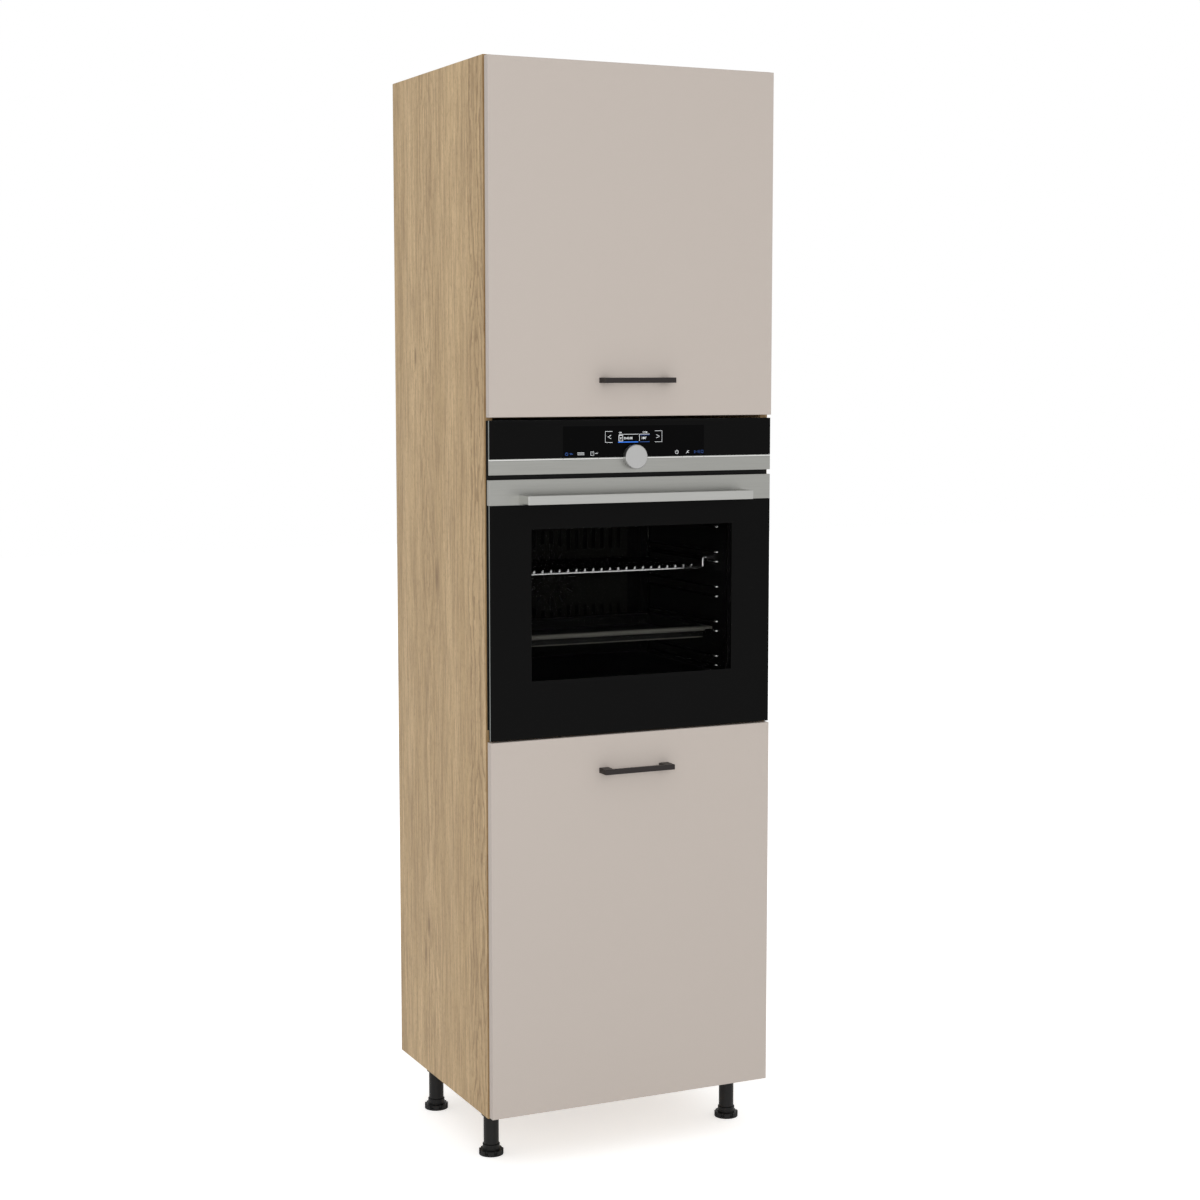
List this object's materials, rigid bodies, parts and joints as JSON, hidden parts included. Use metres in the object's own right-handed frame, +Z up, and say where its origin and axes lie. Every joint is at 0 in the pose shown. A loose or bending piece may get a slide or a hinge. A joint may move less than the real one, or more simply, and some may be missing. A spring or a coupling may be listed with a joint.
{
  "type": "tall oven housing unit",
  "caption": "Tall kitchen unit on adjustable legs: lift-up upper front, built-in oven with a drop-down door, and a full-height pull-out below.",
  "frame": {"origin": "on the floor, under the middle of the unit's outline with its handles", "axes": "+Z up, the fronts face -Y, +X to the right of someone who faces the fronts"},
  "size_m": [0.6, 0.54, 2.1],
  "materials": {
    "oak_decor": "satin oak decor, upright grain",
    "back_board": "matt hardboard",
    "front_lacquer": "matt grey-beige lacquer",
    "dark_handle": "fine satin anthracite",
    "zinc_plated": "zinc plated",
    "strut_tube_paint": "satin grey paint",
    "polished_rod": "polished",
    "leg_plastic": "fine grained black",
    "drawer_board": "matt light board",
    "galvanised": "galvanised sheet",
    "cavity_enamel": "gloss vitreous enamel",
    "seal_rubber": "matt",
    "black_frame": "matt black",
    "fan_steel": "stamped sheet",
    "heater_steel": "heat tinted",
    "lamp_glass": "clear ribbed",
    "black_glass": "gloss black printed glass",
    "inner_glass": "clear coated",
    "satin_steel": "satin brushed"
  },
  "bodies": {
    "carcass": {"side_panel_left": "oak_decor", "side_panel_right": "oak_decor", "top_panel": "oak_decor", "bottom_panel": "oak_decor", "oven_shelf": "oak_decor", "niche_top_shelf": "oak_decor", "adjustable_shelf": "oak_decor", "shelf_pins": "zinc_plated", "back_panel_upper": "back_board", "back_panel_lower": "back_board", "rear_stretcher": "oak_decor", "cam_fittings": "zinc_plated", "leg_sockets": "leg_plastic", "leg_tubes": "leg_plastic", "hinge_arms": "zinc_plated", "strut_anchors": "zinc_plated", "runner_outer": "zinc_plated", "oven_casing": "galvanised", "oven_cavity": "cavity_enamel", "oven_gasket": "seal_rubber", "oven_front_frame": "black_frame", "fan_cover": "cavity_enamel", "fan_motor": "galvanised", "grill_element": "heater_steel", "oven_lamp": "lamp_glass", "side_racks": "polished_rod", "wire_shelf": "polished_rod", "baking_tray": "cavity_enamel", "terminal_box": "galvanised", "control_panel_glass": "black_glass", "control_panel_strip": "satin_steel", "control_housing": "black_frame", "oven_hinge_arms": "zinc_plated"},
    "flap": {"upper_front": "front_lacquer", "upper_handle": "dark_handle", "hinge_cups": "zinc_plated", "strut_studs": "zinc_plated"},
    "strut_tube_pair": {"strut_tubes": "strut_tube_paint"},
    "strut_rod_pair": {"strut_rods": "polished_rod"},
    "drawer": {"drawer_front": "front_lacquer", "drawer_handle": "dark_handle", "drawer_bottom": "drawer_board", "drawer_side_left": "drawer_board", "drawer_side_right": "drawer_board", "drawer_back": "drawer_board", "gallery_rails": "zinc_plated", "runner_inner": "zinc_plated"},
    "runner_middles": {"runner_middle": "zinc_plated"},
    "oven_door": {"oven_door_glass": "black_glass", "oven_door_band": "satin_steel", "oven_door_frame": "black_frame", "oven_door_inner_glass": "inner_glass", "oven_door_handle": "satin_steel"},
    "knob": {"control_knob": "satin_steel"},
    "fan": {"convection_fan": "fan_steel"},
    "levelling_foot_front_left": {"foot_front_left": "leg_plastic"},
    "levelling_foot_front_right": {"foot_front_right": "leg_plastic"},
    "levelling_foot_rear_left": {"foot_rear_left": "leg_plastic"},
    "levelling_foot_rear_right": {"foot_rear_right": "leg_plastic"}
  },
  "joints": [
    {"name": "flap_hinge", "type": "hinge", "parent": "carcass", "child": "flap", "pos_m": [0, -0.212, 2.097], "axis": [-1, 0, 0], "range_deg": [0, 90]},
    {"name": "strut_swing", "type": "hinge", "parent": "carcass", "child": "strut_tube_pair", "pos_m": [0, -0.047, 2.012], "axis": [1, 0, 0], "range_deg": [-5.27, 0.05]},
    {"name": "strut_stroke", "type": "slide", "parent": "strut_tube_pair", "child": "strut_rod_pair", "axis": [0, -0.9742, 0.2258], "range_m": [0, 0.0724]},
    {"name": "drawer_slide", "type": "slide", "parent": "carcass", "child": "drawer", "axis": [0, -1, 0], "range_m": [0, 0.42]},
    {"name": "runner_slide", "type": "slide", "parent": "carcass", "child": "runner_middles", "axis": [0, -1, 0], "range_m": [0, 0.21]},
    {"name": "oven_door_hinge", "type": "hinge", "parent": "carcass", "child": "oven_door", "pos_m": [0, -0.22, 0.842], "axis": [1, 0, 0], "range_deg": [0, 90]},
    {"name": "knob_turn", "type": "hinge", "parent": "carcass", "child": "knob", "pos_m": [0, -0.227, 1.363], "axis": [0, -1, 0], "continuous": true},
    {"name": "fan_spin", "type": "hinge", "parent": "carcass", "child": "fan", "pos_m": [0, 0.185, 1.096], "axis": [0, -1, 0], "continuous": true},
    {"name": "foot_screw_front_left", "type": "slide", "parent": "carcass", "child": "levelling_foot_front_left", "axis": [0, 0, -1], "range_m": [0, 0.015]},
    {"name": "foot_screw_front_right", "type": "slide", "parent": "carcass", "child": "levelling_foot_front_right", "axis": [0, 0, -1], "range_m": [0, 0.015]},
    {"name": "foot_screw_rear_left", "type": "slide", "parent": "carcass", "child": "levelling_foot_rear_left", "axis": [0, 0, -1], "range_m": [0, 0.015]},
    {"name": "foot_screw_rear_right", "type": "slide", "parent": "carcass", "child": "levelling_foot_rear_right", "axis": [0, 0, -1], "range_m": [0, 0.015]}
  ],
  "couplings": [
    {"joint": "strut_swing", "follows": "flap_hinge", "ratio": -0.058054},
    {"joint": "strut_stroke", "follows": "flap_hinge", "m_per_rad": 0.045465},
    {"joint": "runner_slide", "follows": "drawer_slide", "ratio": 0.5}
  ]
}
